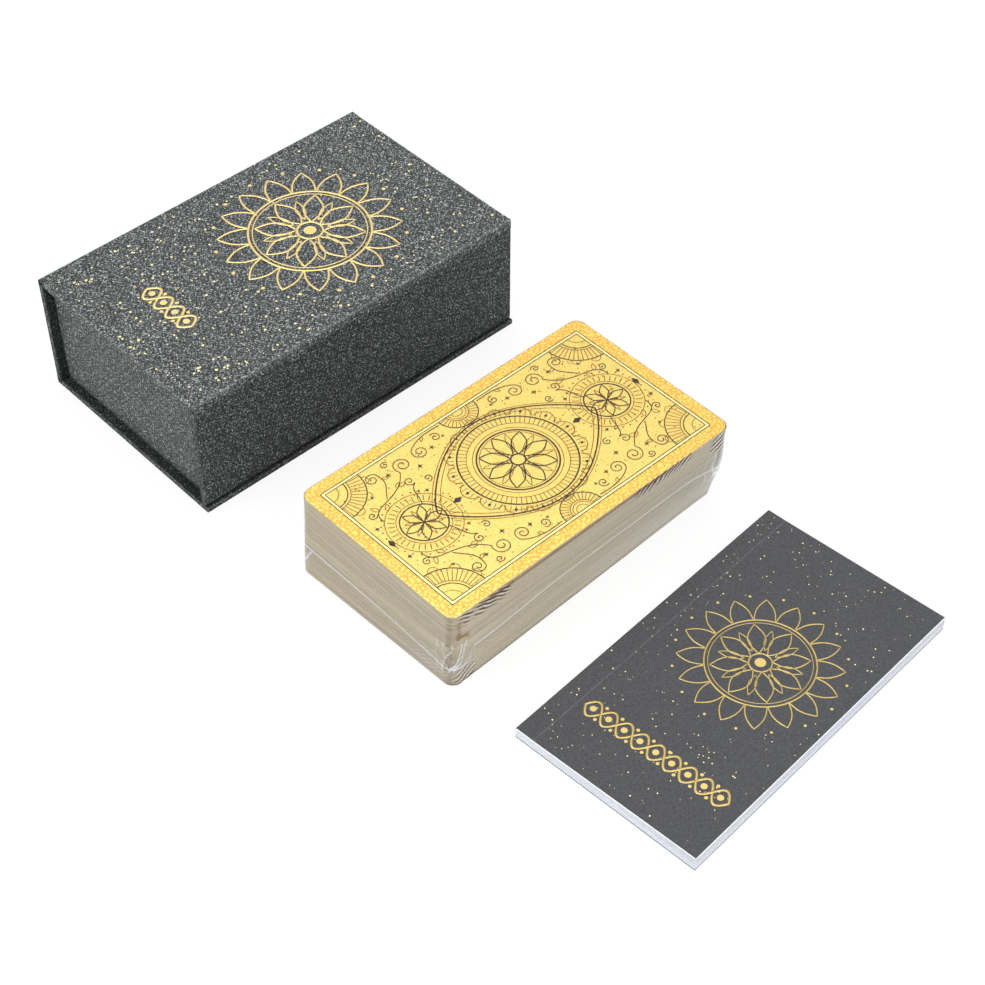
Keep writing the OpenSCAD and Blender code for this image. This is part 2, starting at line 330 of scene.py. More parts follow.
def speckledPaper(name, ground, middle, fleck, flecksShown=1.0):  # granite-like paper with pale and dark fibres
    shader, where = newFinish(name, Specular_IOR_Level=0.3)
    askew = turned(where)
    tooth = placeGroup(paperTooth, Vector=askew, Grain=0.5)
    salt = noiseValue(askew, 1 / 0.55, 1.5)
    fibres = (  # shift, cell, length and width, mm
        ((0.0, 0.0, 0.0), 0.98, 1.6, 0.25),
        ((31.0, 17.0, 5.0), 0.72, 0.8, 0.23),
        ((7.0, 53.0, 29.0), 0.95, 0.9, 0.32),
    )
    pale, dim, dark = (placeGroup(fibreFlecks, Vector=vectorCalc("ADD", askew, shift), Cell=cell, Length=length,
                                  Width=width) for shift, cell, length, width in fibres)
    rub = placeGroup(edgeRub, Vector=where, Edge=painted(where, "edge"), Reach=0.25)
    half = tuple((a + b) / 2.2 for a, b in zip(middle[:3], fleck[:3])) + (1,)
    colour = layered(
        ground,
        (ramp(salt, 0.40, 0.60), middle),
        (ramp(tooth["Clouding"], 0.3, 0.7, 0.0, 0.25), ground),
        (product(dark["Mask"], 0.8), ground),
        (product(dim["Mask"], ramp(dim["Tone"], 0.2, 0.9, 0.0, flecksShown)), half),
        (product(pale["Mask"], ramp(pale["Tone"], 0.1, 0.9, 0.1, flecksShown)), fleck),
        (product(rub["Mask"], 0.45), half),
    )
    raised = calc("ADD", tooth["Height"], product(pale["Mask"], 0.5))
    dress(shader, colour, tooth, 0.05, 0.6, (0.7, 0.86), raised)


def plainPaper(name, ground, grain, roughness, lines=0.0, deep=0.8):  # lining paper, leaves and cover card
    shader, where = newFinish(name, Specular_IOR_Level=0.3)
    tooth = placeGroup(paperTooth, Vector=turned(where), Grain=grain)
    rub = placeGroup(edgeRub, Vector=where, Edge=painted(where, "edge"), Reach=0.45)
    specks = placeGroup(fibreFlecks, Vector=where, Cell=1.3, Length=0.3, Width=0.14)
    shade = shaded(ground, deep)
    light = tuple(min(1.0, c * 1.5 + 0.04) for c in ground[:3]) + (1,)
    colour = layered(
        shade,
        (ramp(tooth["Height"], 0.35, 0.65), ground),
        (ramp(tooth["Clouding"], 0.35, 0.7, 0.0, 0.2), shade),
        (product(specks["Mask"], ramp(specks["Tone"], 0.5, 1.0, 0.0, 0.5)), light),
        (product(rub["Mask"], 0.8), light),
    )
    if lines:  # edges of the sheets, told apart by height
        sheetTone = noiseValue(vectorCalc("MULTIPLY", where, (0.02, 0.02, 9.0)), 1.0, 1.0)
        colour = layered(colour, (ramp(sheetTone, 0.35, 0.65, 0.0, lines), shaded(ground, 0.6)))
    dress(shader, colour, tooth, 0.03, 0.5, (roughness - 0.06, roughness + 0.06))


def foil(name, colour, roughness):  # hot-stamped metal foil and metallic ink
    shader, where = newFinish(name, Metallic=1.0)
    tooth = placeGroup(paperTooth, Vector=where, Grain=0.5)
    mottled = layered(shaded(colour, 0.8), (ramp(tooth["Height"], 0.3, 0.7), colour))
    dress(shader, mottled, tooth, 0.02, 0.4, (roughness - 0.08, roughness + 0.1))


speckledPaper("lidPaper", tint(40, 43, 44), tint(88, 92, 92), tint(208, 212, 211))
# a darker copy of the lid's paper: painted shade, on the flap, the base, the spine and the fold at the base
speckledPaper("flapPaper", tint(25, 28, 28), tint(60, 63, 63), tint(172, 176, 176))
# the darkest copy of the paper: painted shade on the case's inner faces, in the recess round the tray's foot
speckledPaper("innerPaper", tint(12, 14, 15), tint(32, 35, 36), tint(128, 132, 132), 0.7)
# a lighter copy of the lid's paper: painted light on the tray's walls
speckledPaper("trayPaper", tint(46, 50, 50), tint(92, 96, 95), tint(200, 204, 201))
plainPaper("liningPaper", tint(58, 60, 62), 0.3, 0.7)
plainPaper("greyBoard", tint(142, 136, 126), 0.5, 0.85)
plainPaper("coverCard", tint(86, 87, 90), 0.75, 0.62, deep=0.56)
plainPaper("leafPaper", tint(242, 246, 254), 0.3, 0.8, 0.3, 0.92)
plainPaper("cutEdge", tint(254, 254, 255), 0.3, 0.8, deep=0.95)
plainPaper("darkInk", tint(70, 52, 24), 0.4, 0.5)
foil("goldFoil", tint(250, 222, 150), 0.34)
foil("dullFoil", tint(206, 182, 116), 0.42)
foil("paleFoil", tint(251, 236, 178), 0.42)
foil("goldInk", tint(178, 134, 50), 0.45)
foil("steel", tint(190, 192, 196), 0.35)
print("finishes:", len(finishes))


# geometry trees for what repeats
def newGeometryTree(name, inputs):
    geometry = sockets("Geometry", "Geometry")
    return newGroup(name, geometry + inputs + sockets("Material", "Material"), geometry, "GeometryNodeTree")


def geo(kind, *values, **named):
    return put("GeometryNode" + kind, *values, **named)[0]


def finishTree(given, result, **copies):  # copies on points, made real, in the given material
    real = geo("RealizeInstances", geo("InstanceOnPoints", **copies))
    feed(result, {"Geometry": geo("SetMaterial", Geometry=real, Material=given["Material"])})


def makeStrokeTree():  # drawn lines become flat ribbons, copied round the centre
    inputs = sockets("Int", "Count") + sockets("Float", "Turn", "Line width", "Line height")
    tree, given, result = newGeometryTree("foilStrokes", inputs)
    path = geo("SetCurveNormal", geo("MeshToCurve", given["Geometry"]), mode="Z_UP")
    section = geo("CurvePrimitiveQuadrilateral", Width=given["Line width"], Height=given["Line height"])
    ribbon = geo("CurveToMesh", Curve=path, Profile_Curve=section, Fill_Caps=True)
    index = geo("InputIndex", near=tree)
    layer = product(calc("MODULO", index, 2.0), 0.003 * mm)  # crossing strokes lie at two heights
    points = geo("Points", Count=given["Count"], Position=xyz(0.0, 0.0, layer))
    step = calc("MULTIPLY_ADD", calc("DIVIDE", index, given["Count"]), tau, given["Turn"])
    finishTree(given, result, Points=points, Instance=ribbon, Rotation=xyz(0.0, 0.0, step))
    return tree


def randomValue(low, high, seed):
    return put("FunctionNodeRandomValue", at={2: low, 3: high, 8: seed}, data_type="FLOAT")[1]


def makeDotTree():  # stamped dots scattered in loose clusters, kept off a round emblem
    inputs = sockets("Int", "Seed") + sockets("Vector", "Clear centre")
    inputs += sockets("Float", "Density", "Smallest", "Largest", "Dot height", "Clear radius", "Cluster size")
    tree, given, result = newGeometryTree("foilDots", inputs)
    here, seed = geo("InputPosition", near=tree), given["Seed"]
    away = calc("DIVIDE", vectorCalc("DISTANCE", here, given["Clear centre"]), given["Clear radius"])
    cluster = noiseValue(here, calc("DIVIDE", 1.0, given["Cluster size"]), 1.0)
    wanted = product(ramp(away, 0.97, 1.02), ramp(cluster, 0.36, 0.66, 0.7, 1.35))
    density = product(given["Density"], 2.0)
    points = geo("DistributePointsOnFaces", Mesh=given["Geometry"], Density=density, Seed=seed)
    kept = calc("LESS_THAN", randomValue(0.0, 2.0, calc("ADD", seed, 7.0)), wanted)
    luck = calc("POWER", randomValue(0.0, 1.0, seed), 1.6)
    size = ramp(luck, 0.0, 1.0, given["Smallest"], given["Largest"])
    dot = geo("MeshCylinder", Vertices=12, Radius=1.0, Depth=given["Dot height"])
    finishTree(given, result, Points=points, Selection=kept, Instance=dot, Scale=xyz(size, size, 1.0))
    return tree


def makeSheafTree():  # equal sheets stacked with a twist and a lean that grow towards the table
    inputs = sockets("Int", "Count", "Seed") + sockets("Vector", "Lean")
    inputs += sockets("Float", "First height", "Pitch", "Full height", "Twist", "Slip", "Fan first", "Fan step")
    tree, given, result = newGeometryTree("sheetStack", inputs)
    index, slip = geo("InputIndex", near=tree), given["Slip"]
    height = calc("MULTIPLY_ADD", index, given["Pitch"], given["First height"])
    lowShare = calc("SUBTRACT", 1.0, calc("DIVIDE", height, given["Full height"]))
    turn, lean = product(given["Twist"], lowShare), scaled(given["Lean"], lowShare)
    place = put("ShaderNodeVectorRotate", Vector=lean, Angle=turn, rotation_type="Z_AXIS")[0]
    back = product(slip, -1.0)
    slips = {0: xyz(back, back, 0.0), 1: xyz(slip, slip, 0.0), 8: given["Seed"]}
    slips = put("FunctionNodeRandomValue", at=slips, data_type="FLOAT_VECTOR")[0]
    place = vectorCalc("ADD", vectorCalc("ADD", place, slips), xyz(0.0, 0.0, height))
    points = geo("Points", Count=given["Count"], Position=place)
    fan = calc("MULTIPLY_ADD", index, given["Fan step"], given["Fan first"])
    finishTree(given, result, Points=points, Instance=given["Geometry"], Rotation=xyz(fan, 0.0, turn))
    return tree


foilStrokes, foilDots, sheetStack = makeStrokeTree(), makeDotTree(), makeSheafTree()


def grown(base, tree, **values):  # the tree's result on a base mesh, as a plain mesh
    holder = addObject(base.name, base)
    modifier = holder.modifiers.new(tree.name, "NODES")
    modifier.node_group = tree
    for item in tree.interface.items_tree:
        if item.in_out == "INPUT" and camel(item.name) in values:
            modifier[item.identifier] = values[camel(item.name)]
    result = bpy.data.meshes.new_from_object(holder.evaluated_get(bpy.context.evaluated_depsgraph_get()))
    holder.modifiers.clear()
    bpy.data.objects.remove(holder)
    return result


# mesh helpers, in millimetres
def paintPoints(mesh, name, values):
    mesh.attributes.new(name, "FLOAT", "POINT").data.foreach_set("value", values)


def meshFrom(work):
    mesh = bpy.data.meshes.new("made")
    work.to_mesh(mesh)
    work.free()
    return mesh


def splitFinish(mesh, second):  # faces that pass the test take the second finish
    for face in mesh.polygons:
        face.material_index = 1 if second(face) else 0


def roundOver(radius, steps=4):  # a quarter round, from an edge's side to its top
    turns = [pi / 2 * k / steps for k in range(steps + 1)]
    return [(radius * (1 - cos(turn)), radius * (1 - sin(turn))) for turn in turns]


def loft(rings, wrap=False, smooth=True, **attributes):  # skin over rings of points, closed into a solid
    count = len(rings[0])
    faces = []
    for i in range(len(rings) if wrap else len(rings) - 1):
        a, b = i * count, (i + 1) % len(rings) * count
        faces += [(a + j, a + (j + 1) % count, b + (j + 1) % count, b + j) for j in range(count)]
    if not wrap:
        faces += [tuple(range(count))[::-1], tuple(range((len(rings) - 1) * count, len(rings) * count))]
    mesh = bpy.data.meshes.new("loft")
    mesh.from_pydata([Vector(p) * mm for ring in rings for p in ring], [], faces)
    for name, values in attributes.items():
        paintPoints(mesh, name, values)
    work = bmesh.new()
    work.from_mesh(mesh)
    bmesh.ops.recalc_face_normals(work, faces=work.faces)
    work.to_mesh(mesh)
    work.free()
    mesh.polygons.foreach_set("use_smooth", [smooth] * len(mesh.polygons))
    return mesh


def roundedOutline(halfX, halfY, radius, sides=(1, 1, 1, 1), corner=6):  # points with their outward directions
    corners = [(sx * (halfX - radius), sy * (halfY - radius)) for sx, sy in ((1, 1), (-1, 1), (-1, -1), (1, -1))]
    spots = []
    for k, steps in enumerate(sides):  # each corner follows its side: right, back, left, front
        (x, y), (endX, endY), angle = corners[k - 1], corners[k], k * pi / 2
        spots += [(angle, x + (endX - x) * i / steps, y + (endY - y) * i / steps) for i in range(steps)]
        spots += [(angle + pi / 2 * i / corner, endX, endY) for i in range(corner)]
    return [(*polar(radius, angle, x, y), cos(angle), sin(angle)) for angle, x, y in spots]


def plates(outlines, thick, material):  # flat shapes with a thickness, about height zero
    work = bmesh.new()
    for outline in outlines:
        low, high = ([work.verts.new((x * mm, y * mm, z * mm)) for x, y in outline] for z in (-thick / 2, thick / 2))
        work.faces.new(low[::-1])
        work.faces.new(high)
        for i in range(len(outline)):
            work.faces.new((low[i - 1], low[i], high[i], high[i - 1]))
    mesh = meshFrom(work)
    mesh.materials.append(material)
    return mesh


def joined(meshes, place=Matrix.Identity(4), step=0.0):  # several meshes as one, in place, each a step above the last
    work = bmesh.new()
    materials = []
    for layer, mesh in enumerate(meshes):
        mesh.transform(moved(0, 0, layer * step))
        first = len(work.faces)
        work.from_mesh(mesh)
        work.faces.ensure_lookup_table()
        for face in work.faces[first:]:
            material = mesh.materials[face.material_index] if mesh.materials else None
            if material not in materials:
                materials.append(material)
            face.material_index = materials.index(material)
        bpy.data.meshes.remove(mesh)
    work.transform(place)
    mesh = meshFrom(work)
    for material in materials:
        mesh.materials.append(material)
    return mesh


def addPiece(name, mesh, body=None, bend=None, finish=(), stands=()):
    mesh.name = name
    piece = addObject(name, mesh)
    for key in finish:
        mesh.materials.append(finishes[key])
    if bend:
        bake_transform(piece)
    else:
        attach(piece, body)
    if stands:
        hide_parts(*stands)


def paintNodes(finish, *nodes):
    for node in nodes:
        materials = frame["nodes"][node].data.materials
        materials.clear()
        materials.append(finishes[finish])


# covering paper on the four boards of the case
casePaper = {
    "corner": 0.42,  # paper turned over a board's edge, mm
    "cornerSteps": 4,
    "rub": 0.7,  # how far handling wear reaches in from an edge
    "proud": 0.03,  # the linings of the lid and the flap stand out from the turned-in paper
    "panels": (  # node, body, finish, which way the bare inner face looks, whose faces take the darkest paper as painted shade
        # the base, the spine and the flap take the darker copy of the paper, painted shade
        ("base_wrap", "box", "flapPaper", (0, 0, 1)),
        ("spine_wrap", "box", "flapPaper", (0, -1, 0)),
        ("lid_wrap", "lid", "lidPaper", None),
        ("flap_wrap", "flap", "flapPaper", None),
    ),
}


def wrappedBoard(low, high, plan):
    work = bmesh.new()
    place = Matrix.Translation((low + high) / 2) @ Matrix.Diagonal((*(high - low), 1.0))
    bmesh.ops.create_cube(work, size=1.0, matrix=place)
    bmesh.ops.bevel(work, geom=work.edges[:], offset=plan["corner"] * mm, segments=plan["cornerSteps"], profile=0.5,
                    affect="EDGES")
    flats = sorted(work.faces, key=lambda face: face.calc_area())[-6:]
    for face in flats:
        narrow = min(edge.calc_length() for edge in face.edges)
        bmesh.ops.inset_individual(work, faces=[face], thickness=min(plan["rub"] * mm, narrow * 0.3))
    work.verts.index_update()
    unworn = {vert.index for face in flats for vert in face.verts}
    mesh = meshFrom(work)
    paintPoints(mesh, "edge", [0.0 if i in unworn else 1.0 for i in range(len(mesh.vertices))])
    mesh.polygons.foreach_set("use_smooth", [True] * len(mesh.polygons))
    return mesh


for node, body, finish, inner in casePaper["panels"]:
    low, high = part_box(node)
    if node == "lid_wrap":
        low.z += casePaper["proud"] * mm
    if node == "flap_wrap":
        high.y -= casePaper["proud"] * mm
    mesh = wrappedBoard(low, high, casePaper)
    # faces looking inward take the darkest paper: painted shade
    splitFinish(mesh, lambda face: inner and face.normal.dot(inner) > 0.9)
    addPiece(node.split("_")[0] + "Paper", mesh, body,
             finish=(finish, "innerPaper") if inner else (finish,), stands=(node,))


# paper folds between the boards, bent round the corner and carried a little over each board
foldPaper = {
    "thick": 0.3,
    "radius": 0.45,  # pressed crease
    "over": 0.9,  # lap on each board
    "lift": 0.015,  # above the boards' paper
    "tuck": (0.5, 0.06),  # reach and depth of the lap's edge, sunk into the boards' paper
    "endGap": 0.12,
    "flatSteps": 5,
    "arcSteps": 8,
    "stations": 70,
    "crest": (0.6, 0.9),  # place of the worn crest, out from the crease's centre, and its spread
    "dent": (52.0, 2.6, 0.28),  # along the box, width and depth of the knock on the front fold, mm
}


def foldSection(low, high, plan, inward):  # in the Y-Z plane: up the first board's side, round, over the second
    side, far = (high.y, low.y - plan["over"]) if inward < 0 else (low.y, high.y + plan["over"])
    lift, radius, steps, (tuckReach, tuckDepth) = plan["lift"], plan["radius"], plan["flatSteps"], plan["tuck"]
    cy, cz, foot = side + inward * radius, high.z - radius, low.z - plan["over"]
    outline = [(side + inward * tuckDepth, foot - tuckReach)]
    outline += [(side - inward * lift, foot + k * (cz - foot) / steps) for k in range(steps + 1)]
    for k in range(1, plan["arcSteps"]):
        out, up = polar(radius + lift, pi / 2 * k / plan["arcSteps"])
        outline.append((cy - inward * out, cz + up))
    outline += [(cy + k * (far - cy) / steps, high.z + lift) for k in range(steps + 1)]
    return outline + [(far + inward * tuckReach, high.z - tuckDepth)], cy, cz


def foldMesh(node, inward, upside, dent, plan):
    low, high = boxMm(node)
    if upside:  # the lower fold is the upper one turned over
        low.z, high.z = -high.z, -low.z
    outline, cy, cz = foldSection(low, high, plan, inward)
    inner = []
    for k, (y, z) in enumerate(outline):
        along = (Vector(outline[min(k + 1, len(outline) - 1)]) - Vector(outline[max(k - 1, 0)])).normalized()
        out = Vector((along.y, -along.x)) * inward
        if out.dot((y - cy, z - cz)) < 0:
            out = -out
        inner.append((y - out.x * plan["thick"], z - out.y * plan["thick"]))
    rings, edge = [], []
    reach, (crest, spread) = high.x - plan["endGap"], plan["crest"]
    for i in range(plan["stations"] + 1):
        x = -reach + 2 * reach * i / plan["stations"]
        pressed = dent[2] * bell(x, *dent[:2]) if dent else 0.0
        ring = []
        for k, (y, z) in enumerate(outline + inner[::-1]):
            near = exp(-((y - (cy - inward * crest)) ** 2 + (z - (cz + crest)) ** 2) / spread)
            push = 0.7 * near * (pressed + 0.02 * noise.noise((x * 0.4, y, 1.7)))
            ring.append((x, y + inward * push, (z - push) * (-1 if upside else 1)))
            edge.append(min(1.0, 1.25 * near) if k < len(outline) else 0.0)
        rings.append(ring)
    return loft(rings, edge=edge)


lidLow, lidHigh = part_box("lid_fold")
flapLow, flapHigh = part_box("flap_fold")
lidBend = ("box", "lid", (0, lidHigh.y, lidLow.z), (0, lidLow.y, lidHigh.z))
flapBend = ("lid", "flap", (0, flapHigh.y, flapHigh.z), (0, flapLow.y, flapLow.z))
for node, inward, upside, dent, bend, finish in (
    # the base's fold takes the darker copy of the paper, painted shade
    ("base_fold", -1, True, None, None, "flapPaper"),
    ("lid_fold", -1, False, None, lidBend, "lidPaper"),
    ("flap_fold", 1, False, foldPaper["dent"], flapBend, "lidPaper"),
):
    mesh = foldMesh(node, inward, upside, dent, foldPaper)
    addPiece(camel(node), mesh, "box", bend, (finish,), (node,))


# paper over the tray's walls, outside, over the rim and inside
trayPaper = {
    "wall": 2.0,
    "rim": 0.55,
    "rimSteps": 5,
    "rub": 2.0,  # how far handling wear reaches from an edge
    "tuck": 0.3,  # the paper's edges, sunk into the walls
    "corner": 0.7,
    "sides": (8, 6, 8, 6),
    "cornerSteps": 5,
}


def trayRing(plan):
    low, high = boxMm("tray_wrap")
    floorTop = boxMm("tray_floor_liner")[1].z
    wall, rim, rub, tuck = plan["wall"], plan["rim"], plan["rub"], plan["tuck"]
    middle, half = (low + high) / 2, (high - low) / 2
    over = [(inset, high.z - drop, 1.0) for inset, drop in roundOver(rim, plan["rimSteps"])]
    profile = [(0.0, low.z, 0.6), (0.0, low.z + rub, 0.0), (0.0, high.z - rim - rub, 0.0)]  # inset, height, wear
    profile += over + [(wall - inset, z, worn) for inset, z, worn in over[::-1]]
    profile += [(wall, high.z - rim - rub, 0.0), (wall, floorTop, 0.2), (wall - tuck, floorTop - tuck, 0.0)]
    profile.append((tuck, low.z, 0.0))
    rings, edge = [], []
    for inset, z, worn in profile:
        radius = max(plan["corner"] - inset, 0.12)
        ring = roundedOutline(half.x - inset, half.y - inset, radius, plan["sides"], plan["cornerSteps"])
        rings.append([(x + middle.x, y + middle.y, z) for x, y, _, _ in ring])
        edge += [max(worn, 0.8 if abs(nx * ny) > 0.05 and inset == 0 else 0.0) for _, _, nx, ny in ring]
    return loft(rings, wrap=True, edge=edge)


# the tray's walls take the lighter copy of the paper, painted light
addPiece("trayPaper", trayRing(trayPaper), "box", finish=("trayPaper",), stands=("tray_wrap",))
paintNodes("greyBoard", "base_board", "spine_board", "lid_board", "flap_board", "tray_floor", "tray_front_wall",
           "tray_back_wall", "tray_left_wall", "tray_right_wall")
paintNodes("liningPaper", "lid_liner", "flap_liner", "tray_floor_liner")
paintNodes("steel", "flap_magnets", "tray_keepers")
print("box dressed")


# line drawing for foil and ink, in millimetres; a line is its points and whether it closes
def circleLine(radius, steps=96):
    return [polar(radius, tau * i / steps) for i in range(steps)], True


def rayLine(inner, outer, angle=0.0):
    return [polar(inner, angle), polar(outer, angle)], False


def arcLine(radius, start, end, steps=24, x=0.0, y=0.0):  # degrees
    return [polar(radius, radians(start + (end - start) * i / steps), x, y) for i in range(steps + 1)], False


def petalLine(inner, outer, half, steps=14):  # a leaf shape along +X, pointed at both ends
    up = [(inner + (outer - inner) * i / steps, half * sin(pi * i / steps)) for i in range(steps + 1)]
    return up + [(x, -y) for x, y in up[-2:0:-1]], True


def archLine(inner, outer, half, steps=10):  # a pointed arch standing on a ring
    shares = [i / steps for i in range(steps + 1)]
    side = [(inner + (outer - inner) * t, half * cos(pi / 2 * t**1.5)) for t in shares]
    return side + [(x, -y) for x, y in side[-2::-1]], False


def spokes(inner, outer, count, step):  # degrees
    return [rayLine(inner, outer, radians(step * (i + 0.5))) for i in range(count)]


def lozenge(x, y, halfX, halfY):
    return [(x - halfX, y), (x, y - halfY), (x + halfX, y), (x, y + halfY)]


def disc(x, y, radius, steps=14):
    return [polar(radius, tau * i / steps, x, y) for i in range(steps)]


def beadRing(ring, count, radius, steps=14, x=0.0):
    return [disc(*polar(ring, tau * i / count, x), radius, steps) for i in range(count)]


def ribbons(material, height, lines, width, count=1, turn=0.0):  # count copies round the centre, turned by degrees
    base = bpy.data.meshes.new("lines")
    points, edges = [], []
    for line, closed in lines:
        first = len(points)
        points += [(x * mm, y * mm, 0.0) for x, y in line]
        edges += [(first + i, first + i + 1) for i in range(len(line) - 1)]
        if closed:
            edges.append((first + len(line) - 1, first))
    base.from_pydata(points, edges, [])
    return grown(base, foilStrokes, count=count, turn=radians(turn), lineWidth=width * mm, lineHeight=height * mm,
                 material=material)


def strokes(material, height, *rows):
    return [ribbons(material, height, *row) for row in rows]


foilHeight = 0.03  # of stamped lines and beads


def rosette(size, width, material):  # petals in two rings and an arcade of pointed arches; size is the outer radius
    ring, inner = size * 0.62, size * 0.13
    parts = strokes(
        material, foilHeight,
        ([circleLine(ring), circleLine(inner, 40)], width),
        ([circleLine(ring * 0.93)], width * 0.5),
        ([petalLine(inner, ring * 0.9, size * 0.1)], width * 0.85, 8),
        ([petalLine(inner * 1.4, ring * 0.78, size * 0.045)], width * 0.6, 8, 22.5),
        ([archLine(ring, size * 0.93, ring * 0.19)], width * 0.85, 16, 11.25),
    )
    beads = beadRing(size * 0.97, 16, width * 0.85) + [disc(0, 0, inner * 0.5)]
    return parts + [plates(beads, foilHeight, material)]


def braid(span, halfWidth, eyes, width, material):  # two strands that cross along Y, with a bead in each eye
    steps, eye, reach = eyes * 14, span / eyes, halfWidth - width / 2
    swing = [(reach * sin(pi * eyes * i / steps), span * (i / steps - 0.5)) for i in range(steps + 1)]
    strands = [([([(side * x, y) for x, y in swing], False)], width) for side in (-1, 1)]
    beads = [disc(0, (i - (eyes - 1) / 2) * eye, halfWidth * 0.3, 18) for i in range(eyes)]
    for side in (-1, 1):
        beads += [disc(side * halfWidth * 0.78, (i - eyes / 2 + 1) * eye, halfWidth * 0.16) for i in range(eyes - 1)]
    return strokes(material, foilHeight, *strands) + [plates(beads, foilHeight, material)]


def scatterDots(plan, low, high, material):
    margin, (smallest, largest), (x, y) = plan["margin"], plan["dotSize"], plan["emblem"]
    patch = patchMesh(low[0] + margin, low[1] + margin, high[0] - margin, high[1] - margin)
    return grown(patch, foilDots, seed=plan["seed"], density=plan["dots"] / mm**2, smallest=smallest * mm,
                 largest=largest * mm, dotHeight=plan["thick"] * mm, clearRadius=plan["emblemSize"] * mm,
                 clearCentre=(x * mm, y * mm, 0), clusterSize=plan["cluster"] * mm, material=material)


def stampedFoil(plan, low, high, gold, place):  # emblem, small ornament row and scattered dots
    emblem = joined(rosette(plan["emblemSize"], plan["line"], gold), moved(*plan["emblem"]), plan["layer"])
    row = joined(braid(*plan["rowSize"], gold), moved(*plan["row"]), plan["layer"])
    return joined([emblem, row, scatterDots(plan, low, high, finishes["paleFoil"])], place)


# gold foil on the lid
lidFoil = {
    "emblem": (14.4, 0.95),  # centre, mm
    "emblemSize": 34.2,
    "line": 0.8,
    "row": (-44.9, 1.75),  # centre
    "rowSize": (25.0, 4.0, 4, 0.95),  # span, half width, eyes, line
    "thick": 0.03,
    "layer": 0.004,  # each line lies this much above the one before
    "dots": 0.042,  # per square mm
    "dotSize": (0.28, 0.52),
    "cluster": 14.0,
    "margin": 1.5,
    "seed": 11,
}
low, high = boxMm("lid_wrap")
foilPlace = moved(0, 0, high.z + lidFoil["thick"] / 2)
addPiece("lidFoil", stampedFoil(lidFoil, low, high, finishes["goldFoil"], foilPlace), "lid")
print("lid stamped")


# the stack of cards, twisted and leaning a little towards the table
deck = {
    "turn": radians(0.09),
    "twist": radians(1.8),  # from the top card down to the table
    "lean": (0.5, 3.9),  # mm, likewise
    "half": (60.0, 35.0),  # half of a card's length and width
    "corner": 3.5,
    "rim": 0.06,  # softened cut edge
    "slip": 0.09,  # how far a card may lie off the stack
    "seed": 3,
    "groups": {"wands_cards": 14, "cups_cards": 14, "swords_cards": 14, "coins_cards": 14, "trump_cards": 21},
}
cardX, cardY = deck["half"]
leanX, leanY = deck["lean"]
filmTop = boxMm("film_upper")[1].z
topLow, topHigh = boxMm("top_card")
cardThick = topHigh.z - topLow.z
deckTurn = Matrix.Rotation(deck["turn"], 4, "Z")
deckCentre = (topLow + topHigh) / 2 - deckTurn @ Vector((leanX, leanY, 0)) * (1 - topLow.z / filmTop)
deckPlace = moved(deckCentre.x, deckCentre.y) @ deckTurn


def stackPose(x, y, z):  # deck axes, for a point of the stack at height z
    share = 1 - z / filmTop
    return *rotated(x + leanX * share, y + leanY * share, deck["twist"] * share), z


def cardMesh():
    rim = deck["rim"]
    rings = []
    for inset, z in ((rim, 0.0), (0.0, rim), (0.0, cardThick - rim), (rim, cardThick)):
        outline = roundedOutline(cardX - inset, cardY - inset, deck["corner"] - inset)
        rings.append([(x, y, z) for x, y, _, _ in outline])
    return loft(rings, smooth=False)


def makeCardStock():  # cut edges: cream, each card a little different, with warm rubs of gilding
    shader, where = newFinish("cardStock", Roughness=0.6, Specular_IOR_Level=0.35)
    tooth = placeGroup(paperTooth, Vector=where, Grain=0.4)
    sheet = noiseValue(vectorCalc("MULTIPLY", where, (0.012, 0.012, 2.3)), 1.0, 2.0, 0.6)
    streak = noiseValue(vectorCalc("MULTIPLY", where, (0.10, 0.10, 1.5)), 1.0, 3.0, 0.6)
    colour = layered(
        tint(204, 191, 158),
        (ramp(sheet, 0.3, 0.7), tint(251, 241, 210)),
        (ramp(streak, 0.56, 0.75, 0.0, 0.5), tint(214, 186, 128)),
        (ramp(tooth["Height"], 0.3, 0.75, 0.25, 0.0), tint(164, 152, 126)),
    )
    dress(shader, colour, tooth, 0.04, 0.5)


makeCardStock()
for seed, (node, count) in enumerate(deck["groups"].items(), deck["seed"]):
    low, high = boxMm(node)
    pitch = (high.z - low.z - cardThick) / (count - 1)
    cards = grown(cardMesh(), sheetStack, count=count, seed=seed, lean=(leanX * mm, leanY * mm, 0),
                  firstHeight=low.z * mm, pitch=pitch * mm, fullHeight=filmTop * mm, twist=deck["twist"],
                  slip=deck["slip"] * mm, material=finishes["cardStock"])
    cards.transform(deckPlace)
    addPiece(camel(node), cards, "deck", stands=(node,))


